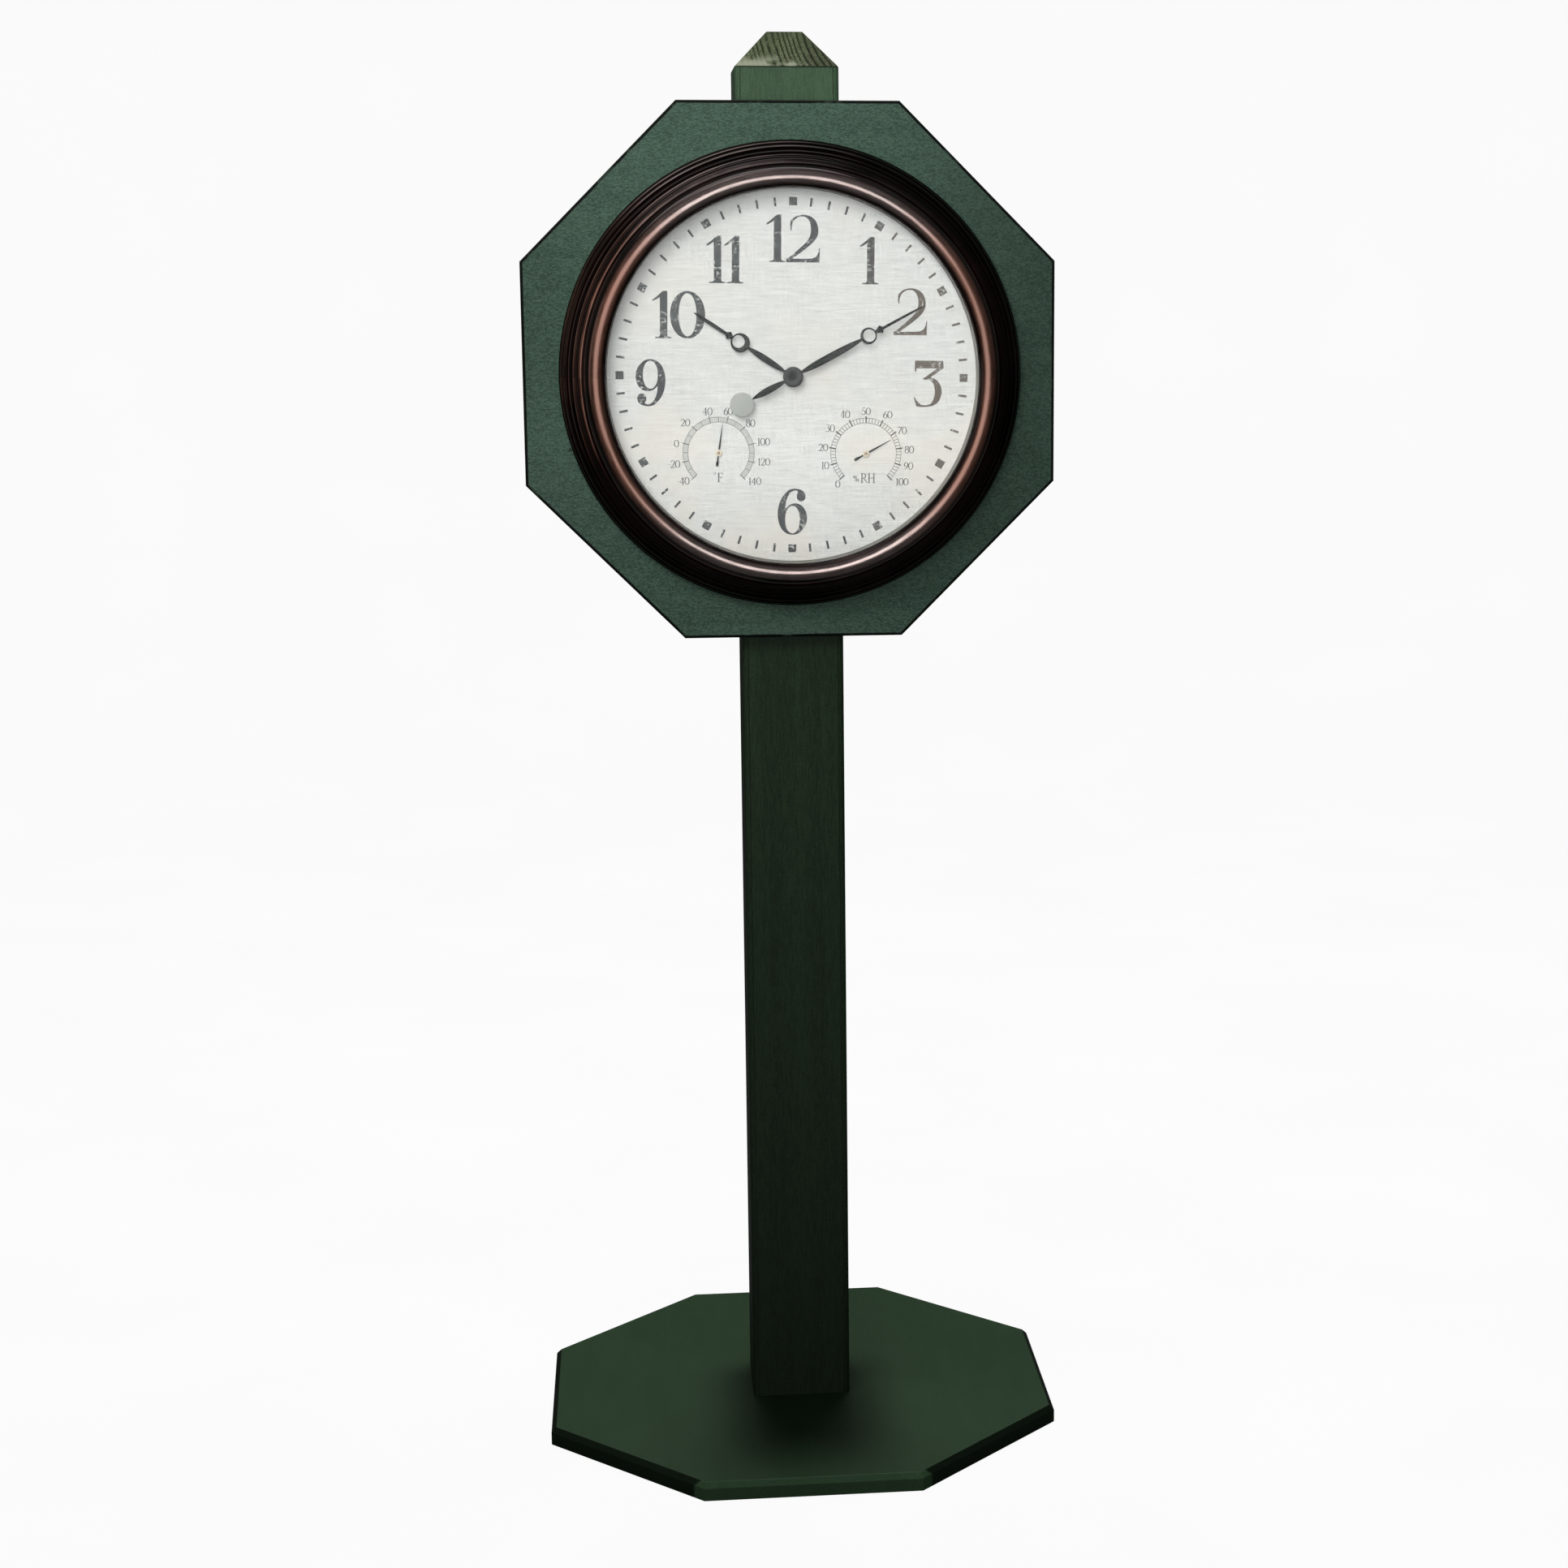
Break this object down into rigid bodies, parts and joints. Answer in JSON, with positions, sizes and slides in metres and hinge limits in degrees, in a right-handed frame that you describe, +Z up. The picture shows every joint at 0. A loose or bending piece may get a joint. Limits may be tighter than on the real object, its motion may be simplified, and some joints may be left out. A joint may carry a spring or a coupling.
{
  "type": "post-mounted street clock",
  "caption": "Square timber post on an eight-sided foot, with an eight-sided head board holding a round quartz clock with thermometer and hygrometer dials.",
  "frame": {"origin": "centre of the foot's underside, on the axis of the post", "axes": "+Z up along the post; the clock faces -Y; +X is to the right of someone looking at the dial"},
  "size_m": [0.4572, 0.4572, 1.242],
  "materials": {
    "green_board": "dark green stain, satin",
    "green_post": "dark green stain, satin, worn at the end grain",
    "zinc_steel": "zinc plated",
    "bronze_frame": "antique bronze coat, dark with rubbed copper highlights",
    "clear_glass": "clear",
    "black_rubber": "matte",
    "silver_ring": "pale metallic, satin",
    "dial_board": "off-white linen texture",
    "black_plastic": "moulded",
    "battery_can": "printed wrap in two plain colours",
    "circuit_board": "solder mask",
    "crystal_can": "satin",
    "white_plastic": "moulded",
    "copper_wire": "enamelled copper wire",
    "soft_iron": "stamped",
    "brass": "satin",
    "black_hand": "gloss black, embossed ridge",
    "grey_hand": "pale grey-green, matte",
    "dark_nut": "dark plated",
    "magnet": "sintered",
    "strip": "paper-faced strip"
  },
  "bodies": {
    "stand": {"base_board": "green_board", "post": "green_post", "head_board": "green_board", "base_screws": "zinc_steel", "head_screws": "zinc_steel", "hanging_screw": "zinc_steel"},
    "clock": {"clock_frame": "bronze_frame", "lens": "clear_glass", "lens_gasket": "black_rubber", "spacer_ring": "silver_ring", "dial": "dial_board", "back_cover": "black_plastic", "cover_screws": "zinc_steel", "hanger_plate": "zinc_steel", "hanger_rivets": "zinc_steel", "movement_case": "black_plastic", "movement_plate": "black_plastic", "battery": "battery_can", "battery_contacts": "zinc_steel", "circuit_board": "circuit_board", "timing_crystal": "crystal_can", "driver_chip": "black_plastic", "coil_bobbin": "white_plastic", "coil_winding": "copper_wire", "coil_core": "soft_iron", "stator": "soft_iron", "rubber_washer": "black_rubber", "brass_washer": "brass", "dial_nut": "brass", "thermometer_housing": "white_plastic", "thermometer_coil": "brass", "hygrometer_housing": "white_plastic", "hygrometer_coil": "strip"},
    "minute_hand_set": {"minute_arbor": "brass", "minute_hand": "black_hand", "minute_counterweight": "grey_hand", "hand_nut": "dark_nut"},
    "hour_hand_set": {"hour_wheel": "white_plastic", "hour_hand": "black_hand"},
    "setting_wheel": {"minute_wheel": "white_plastic", "set_knob": "white_plastic"},
    "centre_gear": {"centre_wheel": "brass"},
    "third_gear": {"third_wheel": "brass"},
    "seconds_gear": {"seconds_wheel": "white_plastic"},
    "reduction_gear": {"reduction_wheel": "white_plastic"},
    "rotor": {"rotor_shaft": "white_plastic", "rotor_magnet": "magnet"},
    "thermometer_pointer": {"thermometer_spindle": "zinc_steel", "thermometer_needle": "black_hand"},
    "hygrometer_pointer": {"hygrometer_spindle": "zinc_steel", "hygrometer_needle": "black_hand"}
  },
  "joints": [
    {"name": "clock_lift", "type": "slide", "parent": "stand", "child": "clock", "axis": [0, 0, 1], "range_m": [0, 0.012]},
    {"name": "minute_hand_turn", "type": "hinge", "parent": "clock", "child": "minute_hand_set", "pos_m": [0, -0.08045, 0.952], "axis": [0, 1, 0], "continuous": true},
    {"name": "hour_hand_turn", "type": "hinge", "parent": "clock", "child": "hour_hand_set", "pos_m": [0, -0.08045, 0.952], "axis": [0, 1, 0], "continuous": true},
    {"name": "setting_wheel_turn", "type": "hinge", "parent": "clock", "child": "setting_wheel", "pos_m": [0.0096, -0.07245, 0.952], "axis": [0, 1, 0], "continuous": true},
    {"name": "rotor_turn", "type": "hinge", "parent": "clock", "child": "rotor", "pos_m": [0.01234, -0.07245, 0.96748], "axis": [0, 1, 0], "continuous": true},
    {"name": "reduction_wheel_turn", "type": "hinge", "parent": "clock", "child": "reduction_gear", "pos_m": [0.00334, -0.07245, 0.96748], "axis": [0, 1, 0], "continuous": true},
    {"name": "seconds_wheel_turn", "type": "hinge", "parent": "clock", "child": "seconds_gear", "pos_m": [-0.00489, -0.07245, 0.96449], "axis": [0, 1, 0], "continuous": true},
    {"name": "third_wheel_turn", "type": "hinge", "parent": "clock", "child": "third_gear", "pos_m": [-0.00779, -0.07245, 0.9565], "axis": [0, 1, 0], "continuous": true},
    {"name": "centre_wheel_turn", "type": "hinge", "parent": "clock", "child": "centre_gear", "pos_m": [0, -0.06845, 0.952], "axis": [0, 1, 0], "continuous": true},
    {"name": "thermometer_needle_turn", "type": "hinge", "parent": "clock", "child": "thermometer_pointer", "pos_m": [-0.0639, -0.08545, 0.88789], "axis": [0, 1, 0], "range_deg": [-142.95, 127.05]},
    {"name": "hygrometer_needle_turn", "type": "hinge", "parent": "clock", "child": "hygrometer_pointer", "pos_m": [0.06209, -0.08545, 0.88613], "axis": [0, 1, 0], "range_deg": [-195.48, 74.52]}
  ],
  "couplings": [
    {"joint": "hour_hand_turn", "follows": "minute_hand_turn", "ratio": 0.083333},
    {"joint": "setting_wheel_turn", "follows": "minute_hand_turn", "ratio": -0.33333},
    {"joint": "reduction_wheel_turn", "follows": "rotor_turn", "ratio": -0.2},
    {"joint": "seconds_wheel_turn", "follows": "rotor_turn", "ratio": 0.033333},
    {"joint": "third_wheel_turn", "follows": "rotor_turn", "ratio": -0.0044444},
    {"joint": "centre_wheel_turn", "follows": "rotor_turn", "ratio": 0.00055556}
  ]
}
